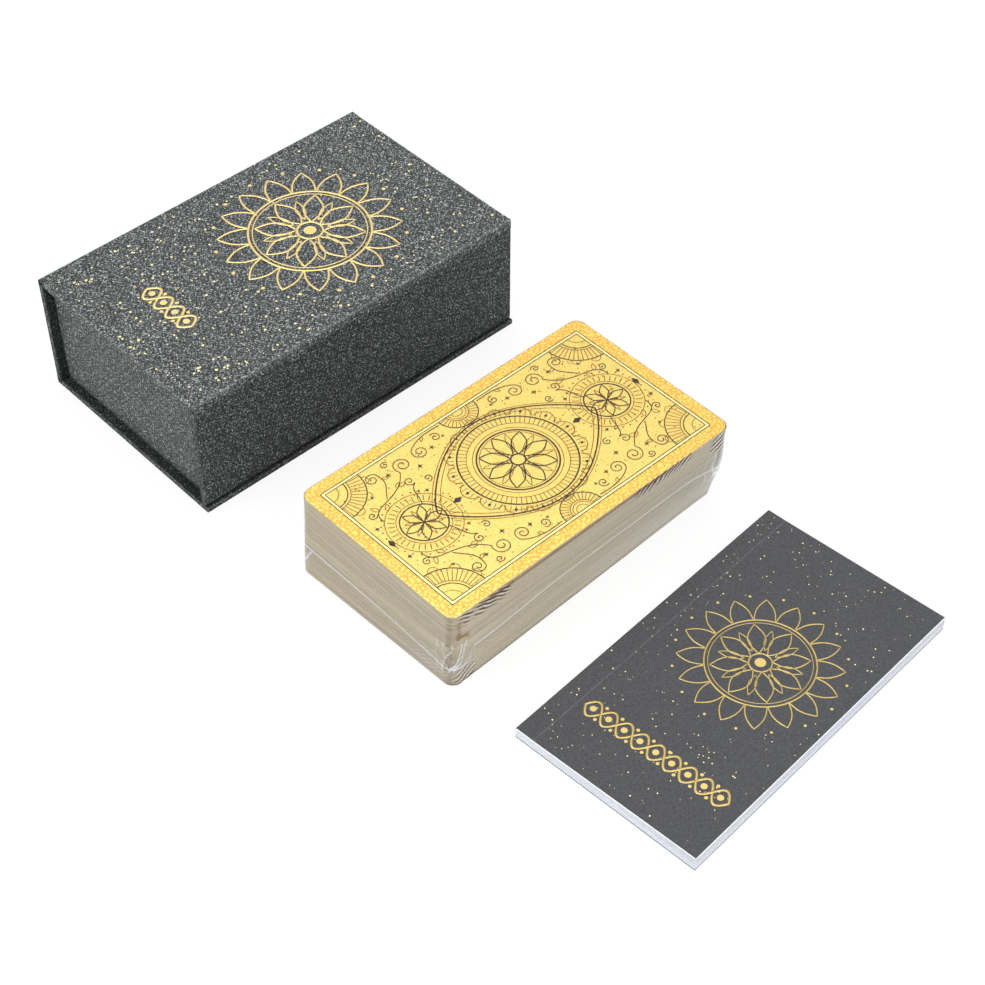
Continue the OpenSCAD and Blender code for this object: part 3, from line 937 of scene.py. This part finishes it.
# gilded back of the top card
cardBack = {
    "border": 4.5,  # margin of deeper gold, mm
    "frame": 5.6,  # inner frame line
    "line": 0.34,
    "thin": 0.26,
    "thick": 0.02,
    "layer": 0.002,
    "darkLift": 0.024,  # dark lines lie this much above the gold ones
    "borderTone": tint(247, 221, 120),
    "borderDeep": tint(234, 178, 82),
    # the pale stripe between border and frame: painted sheen over the border's gold
    "stripeTone": tint(252, 241, 178),
    "fieldTone": tint(244, 224, 140),
    "fieldDeep": tint(232, 202, 108),
    "flower": 39.5,  # from the middle to the small flower at each end
    "stems": (  # four points that hold each curve
        ((48.5, 8.5), (49, 17), (38, 11), (31.0, 21.0)), ((41.5, 15.0), (39, 19), (36, 20), (37.4, 25.5)),
        ((8.2, 28.3), (13, 28.8), (19, 28.6), (22.6, 25.4)), ((35.0, 6.0), (33, 9), (34, 13), (30.5, 14.5)),
    ),
    "curls": (  # centre, radius, turns, first degree, hand
        (28.4, 23.0, 3.3, 1.7, -38, 1), (39.6, 24.4, 2.5, 1.5, 153, -1), (20.4, 23.6, 2.8, 1.6, 39, -1),
        (12.6, 25.2, 1.9, 1.4, 60, 1), (32.6, 26.6, 1.5, 1.4, 160, -1), (31.4, 16.2, 1.9, 1.4, 240, 1),
        (49.5, 12.6, 1.6, 1.4, 200, 1), (26.2, 13.4, 1.6, 1.3, 300, -1),
    ),
    "leaves": (  # foot, length, half width, lean in degrees
        (46.5, 12.6, 3.2, 0.7, 62), (43.0, 13.6, 3.2, 0.7, -58), (35.6, 16.6, 3.0, 0.7, 175),
        (34.0, 18.0, 2.8, 0.6, -30), (15.6, 28.4, 2.4, 0.5, -48), (37.2, 22.8, 2.4, 0.55, 205),
        (33.6, 10.2, 2.2, 0.5, 150),
    ),
    "sparks": (  # centre, size
        (34.6, 22.6, 1.1), (16.4, 22.6, 1.1), (24.6, 18.8, 1.2), (52.0, 7.5, 1.1), (44.6, 18.6, 0.9), (29.8, 9.6, 0.9),
        (10.4, 24.0, 0.8),
    ),
    "emblem": (0.0, 0.0),
    "emblemSize": 23.0,  # kept clear of dots
    "dots": 0.10,
    "dotSize": (0.12, 0.3),
    "cluster": 8.0,
    "margin": 1.0,
    "seed": 5,
}


def makeGildedBack(plan):
    shader, where = newFinish("gildedBack", Metallic=1.0)
    own = vectorCalc("SUBTRACT", where, (deckCentre.x, deckCentre.y, 0.0))
    own = put("ShaderNodeMapping", Vector=own, Rotation=(0, 0, -deck["turn"]))[0]
    apart = put("ShaderNodeSeparateXYZ", vectorCalc("ABSOLUTE", own))
    inset = calc("MINIMUM", calc("SUBTRACT", cardX, apart[0]), calc("SUBTRACT", cardY, apart[1]))
    inStripe, inField = (ramp(inset, plan[key] - 0.1, plan[key] + 0.1) for key in ("border", "frame"))
    tooth = placeGroup(paperTooth, Vector=turned(where), Grain=0.6)
    cells = put("ShaderNodeTexVoronoi", Vector=own, Scale=0.62, voronoi_dimensions="2D")["Distance"]
    curls = calc("SINE", calc("MULTIPLY_ADD", cells, 9.0, product(tooth["Height"], 7.0)))
    scroll = ramp(curls, -0.1, 0.9)
    field = layered(plan["fieldTone"], (ramp(tooth["Height"], 0.35, 0.7), plan["fieldDeep"]))
    border = (scroll, plan["borderDeep"])
    # the stripe takes the paler tone, painted sheen
    colour = layered(plan["borderTone"], border, (inStripe, plan["stripeTone"]), (inField, field))
    relief = product(scroll, calc("SUBTRACT", 1.0, inStripe))
    relief = calc("ADD", relief, product(tooth["Height"], 0.6))
    dress(shader, colour, tooth, 0.03, 0.6, (0.42, 0.58), relief)


def rectangleLine(halfX, halfY):  # corners kept square by points close to them
    near = 0.05
    points = []
    for sx, sy, first in ((1, 1, True), (-1, 1, False), (-1, -1, True), (1, -1, False)):
        pair = [(sx * halfX, sy * (halfY - near)), (sx * (halfX - near), sy * halfY)]
        points += pair if first else pair[::-1]
    return points, True


def spiralLine(x, y, radius, turns, start, hand, steps=26):  # a curl that winds in to its centre
    shares = [i / steps for i in range(steps + 1)]
    return [polar(radius * (1 - 0.86 * t), radians(start) + hand * tau * turns * t, x, y) for t in shares], False


def bowLine(points, steps=18):  # smooth curve held by four points
    line = []
    for t in (i / steps for i in range(steps + 1)):
        weights = ((1 - t) ** 3, 3 * t * (1 - t) ** 2, 3 * t * t * (1 - t), t**3)
        line.append(tuple(sum(w * p[k] for w, p in zip(weights, points)) for k in (0, 1)))
    return line, False


def leafLine(x, y, length, half, lean):
    line = [rotated(px, py, radians(lean)) for px, py in petalLine(0.0, length, half, 8)[0]]
    return [(x + px, y + py) for px, py in line], True


def mirrored(lines, signs=(-1, 1)):  # the same drawing in all four quarters, or with one sign in two halves
    return [([(sx * x, sy * y) for x, y in line], closed) for sx in signs for sy in (-1, 1) for line, closed in lines]


def star(x, y, size):  # a spark of four points
    return [polar(size * (1 if i % 2 == 0 else 0.22 * 2**0.5), tau * i / 8, x, y) for i in range(8)]


def makeCardArt(plan):
    dark, gold, thick, layer = finishes["darkInk"], finishes["goldInk"], plan["thick"], plan["layer"]
    line, thin = plan["line"], plan["thin"]
    fieldX, fieldY = cardX - plan["frame"], cardY - plan["frame"]

    def inCorners(lines):
        return mirrored([([(fieldX - x, fieldY - y) for x, y in points], closed) for points, closed in lines])

    def onSides(lines):
        return mirrored([([(x, fieldY - y) for x, y in points], closed) for points, closed in lines], (1,))

    steps = range(61)
    arch = [21.5 * cos(pi / 2 * (i - 30) / 30) ** 0.8 if 0 < i < 60 else 0.0 for i in steps]
    arch = [(-34 + 68 * i / 60, arch[i]) for i in steps]
    arches = [[([(x * k, y * k) for x, y in arch], False)] for k in (1.0, 0.94, 1.04)]
    fan = [arcLine(radius, 0, 90, 18) for radius in (7.0, 13.0, 4.2, 8.0)]
    scallops = [arcLine(1.7, t - 100, t + 100, 10, *polar(13.0, radians(t))) for t in (15, 45, 75)]
    shell = [arcLine(radius, 0, 180) for radius in (7.4, 2.2, 3.4, 4.2)]
    vines = [bowLine(points) for points in plan["stems"]] + [spiralLine(*curl) for curl in plan["curls"]]
    leaves = [leafLine(*leaf) for leaf in plan["leaves"]]
    frames = [rectangleLine(cardX - plan["border"], cardY - plan["border"]), rectangleLine(fieldX, fieldY)]
    darkParts = strokes(
        dark, thick,
        ([circleLine(13.2), circleLine(2.4, 32)], 0.55),
        ([circleLine(19.4)], 0.5),
        ([petalLine(2.4, 12.4, 2.5)], 0.42, 8),
        (mirrored(arches[0], (1,)), 0.5),
        (inCorners(fan[:2]), line),
        (onSides(shell[:1]), line),
        (mirrored(vines), 0.3),
    )
    goldParts = strokes(dark, thick, (frames, 0.32)) + strokes(
        gold, thick,
        ([circleLine(12.3), circleLine(14.4), circleLine(16.4)], thin),
        ([rayLine(16.4, 19.4)], thin, 72),
        ([petalLine(3.2, 12.0, 1.0)], 0.28, 8, 22.5),
        ([arcLine(3.7, -86, 86, 14, 19.6)], 0.32, 16),
        ([rayLine(20.2, 22.6)], 0.24, 80),
        (inCorners(fan[2:] + spokes(8.0, 13.0, 12, 7.5) + scallops), thin),
        (onSides(shell[1:] + spokes(4.2, 7.4, 16, 11.25)), thin),
        (mirrored(arches[1] + arches[2], (1,)), thin),
        (mirrored(leaves), thin),
    )
    flower = (([circleLine(7.6, 64)], 0.45), ([petalLine(0.2, 7.2, 1.5)], line, 6))
    halo = (
        ([circleLine(8.7, 64), circleLine(12.2, 64)], thin),
        ([rayLine(9.2, 11.4)], 0.3, 36),
        ([petalLine(0.4, 6.2, 0.6)], thin, 6, 30),
    )
    beads = beadRing(21.6, 16, 0.5)
    for side in (-1, 1):
        centre = side * plan["flower"]
        darkParts.append(joined(strokes(dark, thick, *flower), moved(centre, 0), layer))
        goldParts.append(joined(strokes(gold, thick, *halo), moved(centre, 0), layer))
        beads += beadRing(13.3, 32, 0.26, 8, centre)
        beads += [lozenge(side * 52.6, 0.0, 1.0, 1.9), lozenge(side * 25.8, 0.0, 1.9, 1.1)]
        beads += [star(side * x, sy * y, size) for x, y, size in plan["sparks"] for sy in (-1, 1)]
    darkParts.append(plates(beads, thick, dark))
    goldParts.append(scatterDots(plan, (-fieldX, -fieldY), (fieldX, fieldY), gold))
    x, y, _ = stackPose(0, 0, topLow.z)
    place = deckPlace @ moved(x, y, topHigh.z + thick / 2)
    addPiece("cardGoldLines", joined(goldParts, place, layer), "deck")
    place = moved(0, 0, plan["darkLift"]) @ place
    addPiece("cardDarkLines", joined(darkParts, place, layer), "deck")


makeGildedBack(cardBack)
topCard = cardMesh()
splitFinish(topCard, lambda face: abs(face.normal.z) <= 0.3)
topCard.transform(deckPlace @ moved(*stackPose(0, 0, topLow.z)))
addPiece("topCard", topCard, "deck", finish=("gildedBack", "cardStock"), stands=("top_card",))
makeCardArt(cardBack)
print("cards laid")


# clear film shrunk round the stack
shrinkFilm = {
    "gap": 0.2,  # from the cards' edges, mm
    "fold": 0.3,  # radius over the top and bottom edges
    "rowSteps": (0.36, 0.28),  # between rows, and closer where the weld runs
    "weldRange": (9.5, 25.0),
    "flatInset": 1.5,
    "steps": (63, 75, 126, 376),  # points along the right end, back, left end and front
    "cornerSteps": 18,
    # white of the weld and creases, which also carries the painted highlights
    "seamTone": tint(240, 242, 246),
    # gold-brown streaks: painted reflection of the gilding, and painted shade along the foot
    "streakTone": tint(150, 112, 48),
    "streakDeep": tint(74, 52, 20),
}


def seamHeight(x, y):  # the weld wanders: it drops to the near corner, then climbs along the front
    sink, run = (cardY - y) / (2 * cardY), (x + cardX) / (2 * cardX)
    climb = 6.2 * fade(-run, -0.075, -0.05) + 2.6 * fade(-run, -0.42, -0.1) - 1.2 * fade(-run, -1.0, -0.84)
    sides = (
        (x + cardX, 13.4 - 4.6 * max(sink, 0.0) ** 1.6),
        (y + cardY, 9.0 + climb),
        (cardX - x, 15.0 + 1.6 * sink),
        (cardY - y, 13.4 + 1.6 * run),
    )
    weights = [(max(0.0, 1 - gap / 3.6) + 1e-6, height) for gap, height in sides]
    return sum(w * height for w, height in weights) / sum(w for w, _ in weights)


def filmWrinkles(x, y, z):  # how far the film stands out; how white it shows, at the weld and the creases and as painted highlights; and its gold-brown streaks, painted reflection of the gilding and painted shade
    depth, run = filmTop - z, x + cardX
    front, left = fade(y, -cardY + 1.5, -cardY + 4), fade(x, -cardX + 1.5, -cardX + 4)
    nearCorner, rightCorner = hypot(x + cardX, y + cardY), hypot(x - cardX, y + cardY)
    farCorner, leftCorner = hypot(x - cardX, y - cardY), hypot(x + cardX, y - cardY)
    stray = noise.noise((x * 0.09, y * 0.09, z * 0.12))
    wobble = noise.noise((x * 0.25, z * 0.3, 3.0))
    out, white, streak = 0.05 * stray, 0.0, 0.0

    def crease(amount, cycles, depthOut, brown, pale):
        nonlocal out, white, streak
        wave = sin(tau * cycles)
        out += depthOut * amount * wave
        # crests take painted white highlight, troughs painted gold-brown reflection of the gilding
        streak += brown * amount * fade(-wave, -0.75, -0.05)
        white += pale * amount * fade(wave, -0.95, -0.45)

    # fine slanting pleats under the top edge
    pleats = front * fade(abs(x - 30), 10, 15) * fade(depth, 1.8 + 1.6 * fade(x, 22, 38), 5.6)
    crease(pleats, (x + 0.9 * depth) / 2.7 + 0.5 * wobble, 0.05, 0.95, 0.9)
    # pulls that fan out of the near corner
    pulls = front * fade(abs(run - 13.5), 7.5, 12.5) * fade(depth, 4.2, 8.2) * fade(-depth, -1.0, -0.2)
    crease(pulls * fade(stray + wobble, 0.25, 0.7), (depth - 0.47 * run) / 1.75 + 0.5 * wobble, 0.06, 1.0, 1.0)
    # short pulls at the right corner
    tugs = front * fade(abs(x - 55.6), 2.6, 4.2) * fade(abs(depth - 5.0), 3.0, 4.6)
    crease(tugs, (depth + 0.56 * x) / 2.4 + 0.2 * wobble, 0.05, 0.95, 0.9)
    # slanting lines low by the near corner, and tucks low on the left end
    slants = front * fade(abs(run - 5.5), 3.0, 5.5) * fade(z, 5.0, 9.0)
    crease(slants, (z - 0.68 * run) / 2.5 + 0.4 * wobble, 0.05, 0.5, 0.85)
    tucks = left * bell(y, -24, 9) * bell(z, 5, 4.5)
    crease(tucks, (z + 0.8 * (y + cardY)) / 1.9 + 0.4 * stray, 0.08, 0.1, 0.55)
    # painted reflection of the gilding, seen bent at the near corner and mirrored under the top edge, and painted shade
    # as the dark line along the foot
    bent = bell(run, 2.9, 1.2) * fade(abs(z - 27), 3.5, 6.5) * (0.6 + wobble)
    bent = max(bent, fade(abs(run - 4.5), 1.5, 4.0) * bell(z + 0.45 * run + wobble, 26.0, 1.5))
    streak += 0.38 * front * bent
    streak += 0.5 * front * fade(abs(x + 8), 32, 46) * bell(depth, 1.5 - 0.01 * x, 0.7)
    streak += 0.62 * front * fade(x, 10, 50) * fade(z, 0.35, 0.95)
    white += 0.13 * front * fade(abs(x - 24), 18, 34) * bell(z, 7, 3)  # soft glint under the weld
    # crumpled film at the corners, its creases running down and towards the corner, their crests whitened as painted
    # highlights and streaked with painted gold-brown reflection
    crumple = bell(nearCorner, 1.5, 5.5) * fade(abs(z - 14), 5.5, 9.5)
    for corner, height, amount in ((leftCorner, 9, 0.3), (rightCorner, 13, 0.85), (farCorner, 16, 0.6)):
        crumple += amount * bell(corner, 0, 6) * bell(z, height, 7)
    lean = x - 0.25 * z
    ridges = 1 - 2.2 * abs(noise.noise((lean * 0.42 + 2.0, y * 0.42, z * 0.09)))
    fine = 1 - 2.2 * abs(noise.noise((lean * 0.85, y * 0.85 + 7.0, z * 0.2)))
    out += crumple * (0.12 + 0.16 * ridges + 0.05 * fine)
    white += crumple * (0.95 * fade(-ridges, -1.0, -0.72) + 0.55 * fade(-fine, -1.0, -0.78))
    streak += 0.12 * front * crumple * fade(ridges, -0.3, 0.3)
    slack = bell(rightCorner, 0, 9) * bell(z, 17, 11)  # film standing off at the right corner, whitened with painted highlights
    out += 1.5 * slack
    white += 0.35 * slack + 0.5 * slack * fade(-sin(tau * (x + y) / 3.1 + stray * 4), -1.0, -0.75)
    weld = bell(z - seamHeight(x, y), 0.3 * noise.noise((x * 0.12, y * 0.12, 5.0)), 0.32)
    out += 0.04 * weld
    white += (0.95 - 0.3 * front * fade(-x, 0, 40)) * weld
    ear = left * fade(abs((z - 2.0) - (cardY - y) * 1.85), 0.3, 0.9)  # edge of the folded ear
    ear *= fade(z, 12.3, 13.2) * fade(-y, -29.5, -28.0)
    out += 0.08 * ear
    white += 0.95 * ear
    return max(out, -0.12), min(1.0, white), min(1.0, streak)


def filmRows(plan):  # heights and insets from the top, round the edges, to the underside
    fold, flat = plan["fold"], plan["flatInset"]
    (weldLow, weldHigh), (wide, close) = plan["weldRange"], plan["rowSteps"]
    rows = [(filmTop, flat)] + [(filmTop - drop, inset) for drop, inset in roundOver(fold)]
    z = filmTop - fold
    while z > fold + 0.3:
        z -= wide if z > weldHigh or z < weldLow else close
        rows.append((z, 0.0))
    return rows + [(height, inset) for inset, height in roundOver(fold)] + [(0.0, flat)]


def makeClearFilm(plan):
    shader, where = newFinish("clearFilm", Metallic=1.0)
    white, streak = painted(where, "white"), painted(where, "streak")
    glance = product(put("ShaderNodeFresnel", near=where, IOR=1.4)[0], 1.2)
    tooth = placeGroup(paperTooth, Vector=where, Grain=2.5)
    # the white mark shows the weld and creases with painted highlights; the streak mark is painted reflection and
    # painted shade
    brown = layered(plan["streakTone"], (ramp(streak, 0.35, 0.9), plan["streakDeep"]))
    colour = layered(plan["seamTone"], (ramp(streak, 0.0, 0.35), brown))
    shown = calc("ADD", calc("ADD", glance, product(white, 0.7)), product(streak, 0.8))
    dress(shader, colour, tooth, 0.08, 0.25, (0.08, 0.2), Alpha=calc("MINIMUM", shown, 1.0))


def makeFilm(plan):
    rings, white, streak = [], [], []
    for z, inset in filmRows(plan):
        grow = plan["gap"] - inset
        corner = max(deck["corner"] + grow, 0.5)
        ring = []
        for x, y, nx, ny in roundedOutline(cardX + grow, cardY + grow, corner, plan["steps"], plan["cornerSteps"]):
            out, pale, brown = (0.0, 0.0, 0.0) if inset > plan["fold"] else filmWrinkles(x, y, z)
            settle = fade(inset, 0.0, plan["fold"])
            ring.append(stackPose(x + nx * out * settle, y + ny * out * settle, z))
            white.append(pale * settle)
            streak.append(brown * settle)
        rings.append(ring)
    mesh = loft(rings, white=white, streak=streak)
    mesh.transform(deckPlace)
    addPiece("shrinkFilm", mesh, "deck", finish=("clearFilm",),
             stands=("film_upper", "film_lower", "film_seam"))


makeClearFilm(shrinkFilm)
makeFilm(shrinkFilm)
print("film shrunk")


# the booklet
booklet = {
    "length": 122.5,
    "depth": 69.6,
    "score": 7.0,  # scored line, from the spine
    "spring": radians(1.4),  # how far the closed cover stands up from its score
    "card": 0.3,
    "endGap": 0.02,
    "spineCorner": 0.5,
    "bendCover": 1.6,  # how far past the score the cover bends
    "bendLeaves": 3.2,
    "bendSteps": 8,
    "flatSteps": 6,
    "leaf": 0.09,
    "leafShort": 0.06,  # leaves end this much inside the cover
    "leafSlip": 0.04,
    "leafSeed": 20,
    "leaves": (("first_leaves", 6, 7), ("next_leaves", 6, 1), ("rest_leaves", 22, 0)),  # count, first place in the fan
    "coverSoft": 0.2,  # worn slope of the cut edge
    "leafSoft": 0.027,
    "emblem": (8.05, -38.3),
    "emblemSize": 27.9,
    "line": 0.55,
    "row": (-39.85, -36.8),
    "rowSize": (55.0, 3.6, 9, 0.85),
    "dots": 0.05,
    "dotSize": (0.10, 0.25),
    "cluster": 12.0,
    "margin": 1.2,
    "thick": 0.02,
    "layer": 0.003,
    "seed": 4,
}
hinge = next(joint for joint in frame["joints"] if joint["name"] == "cover_hinge")
score, coverTop = booklet["score"], hinge["pos_m"][2] / mm
spineWay = -Vector(hinge["axis"])
bookTurn = Matrix.Rotation(atan2(spineWay.y, spineWay.x), 4, "Z")
spineMiddle = Vector(hinge["pos_m"]) + bookTurn @ Vector((0, score * mm, 0))
bookPlace = Matrix.Translation((spineMiddle.x, spineMiddle.y, 0)) @ bookTurn
scorePlace = bookPlace @ moved(0, -score, coverTop)
sprungUp = Matrix.Rotation(-booklet["spring"], 4, "X")
bookHalf = booklet["length"] / 2 - booklet["endGap"]


def bookBend(child, reach):
    points = [bookPlace @ (Vector((0, -score - y, coverTop)) * mm) for y in (-0.1, reach)]
    return ("booklet", child, *points)


def sheetMesh(depth, thick, bend, soft):  # a flat sheet with closer rows where it bends, at height zero
    steps, flats = booklet["bendSteps"], booklet["flatSteps"]
    rows = [bend * k / steps for k in range(steps + 1)] if bend else [0.0]
    last = rows[-1]
    rows += [last + (depth - soft - last) * k / flats for k in range(1, flats + 1)] + [depth]
    rings, edge = [], []
    for y in rows:
        top, side = thick - soft if y == depth else thick, thick - soft
        section = [(-bookHalf, 0), (bookHalf, 0), (bookHalf, side), (bookHalf - soft, top), (-bookHalf + soft, top),
                   (-bookHalf, side)]
        rings.append([(x, -y, z) for x, z in section])
        edge += [1.0 if bend and y < 0.25 and z > thick * 0.5 else 0.0 for _, z in section]
    return loft(rings, smooth=False, edge=edge)


def makeBackCover(plan):  # the bound strip with the spine, and the back
    depth, card, corner, soft = plan["depth"], plan["card"], plan["spineCorner"], plan["coverSoft"]
    arc = roundOver(corner)
    back = arc + [(depth, 0.0), (depth, card), (card, card), (card, corner)]
    strip = [(score, coverTop)] + [(y, coverTop - z) for y, z in arc[::-1]]
    strip += [(0.0, corner), (card, corner), (card, coverTop - card), (score, coverTop - card)]
    worn, flat = coverTop - soft, bookHalf - soft
    ends = ((-bookHalf, worn), (-flat, coverTop), (flat, coverTop), (bookHalf, worn))
    parts = [loft([[(x, -y, min(z, top)) for y, z in strip] for x, top in ends], smooth=False)]
    parts.append(loft([[(x, -y, z) for y, z in back] for x in (-bookHalf, bookHalf)], smooth=False))
    mesh = joined(parts)
    mesh.materials.clear()
    # only the spine strip's cut ends take the white cut edge; the back's own cut edges stay dark card, painted shade
    # for the dark line along the booklet's foot
    splitFinish(mesh, lambda face: abs(face.normal.x) > 0.5 and face.center.z > corner * mm)
    mesh.transform(bookPlace)
    addPiece("backCover", mesh, "booklet", finish=("coverCard", "cutEdge"), stands=("back_cover",))


def makeFrontCover(plan):
    mesh = sheetMesh(plan["depth"] - score, plan["card"], plan["bendCover"], plan["coverSoft"])
    splitFinish(mesh, lambda face: abs(face.normal.z) < 0.8)
    mesh.transform(scorePlace @ sprungUp @ moved(0, 0, -plan["card"]))
    addPiece("frontCover", mesh, bend=bookBend("cover", plan["bendCover"]),
             finish=("coverCard", "cutEdge"), stands=("front_cover",))


def makeLeaves(plan):  # those that turn are fanned from the ones below up to the cover
    leaf, groups = plan["leaf"], plan["leaves"]
    low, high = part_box("rest_leaves")
    pitch = (high.z - low.z - leaf * mm) / (groups[-1][1] - 1)
    fanStep = -plan["spring"] / (1 + sum(count for _, count, place in groups if place))
    for seed, (node, count, place) in enumerate(groups, plan["leafSeed"]):
        start, bend = (score, plan["bendLeaves"]) if place else (plan["spineCorner"], 0)
        base = sheetMesh(plan["depth"] - plan["leafShort"] - start, leaf, bend, plan["leafSoft"])
        base.transform(moved(0, 0, -leaf))
        mesh = grown(base, sheetStack, count=count, seed=seed, firstHeight=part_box(node)[0].z + leaf * mm, pitch=pitch,
                     fullHeight=coverTop * mm, slip=plan["leafSlip"] * mm, fanFirst=fanStep * place,
                     fanStep=fanStep if place else 0.0, material=finishes["leafPaper"])
        mesh.transform(bookPlace @ moved(0, -start))
        addPiece(camel(node), mesh, "booklet", bookBend(node, bend) if place else None, stands=(node,))


def makeCoverFoil(plan):
    half, place = plan["length"] / 2, moved(0, score, plan["thick"] / 2)
    mesh = stampedFoil(plan, (-half, -plan["depth"]), (half, 0.0), finishes["dullFoil"], place)
    for vert in mesh.vertices:  # what lies past the score springs up with the cover
        vert.co = scorePlace @ (sprungUp @ vert.co if vert.co.y < 0 else vert.co)
    addPiece("coverFoil", mesh, bend=bookBend("cover", plan["bendCover"]))


makeBackCover(booklet)
makeFrontCover(booklet)
makeLeaves(booklet)
makeCoverFoil(booklet)
paintNodes("leafPaper", "leaf_stubs")
paintNodes("cutEdge", "spine_glue")
print("booklet bound")
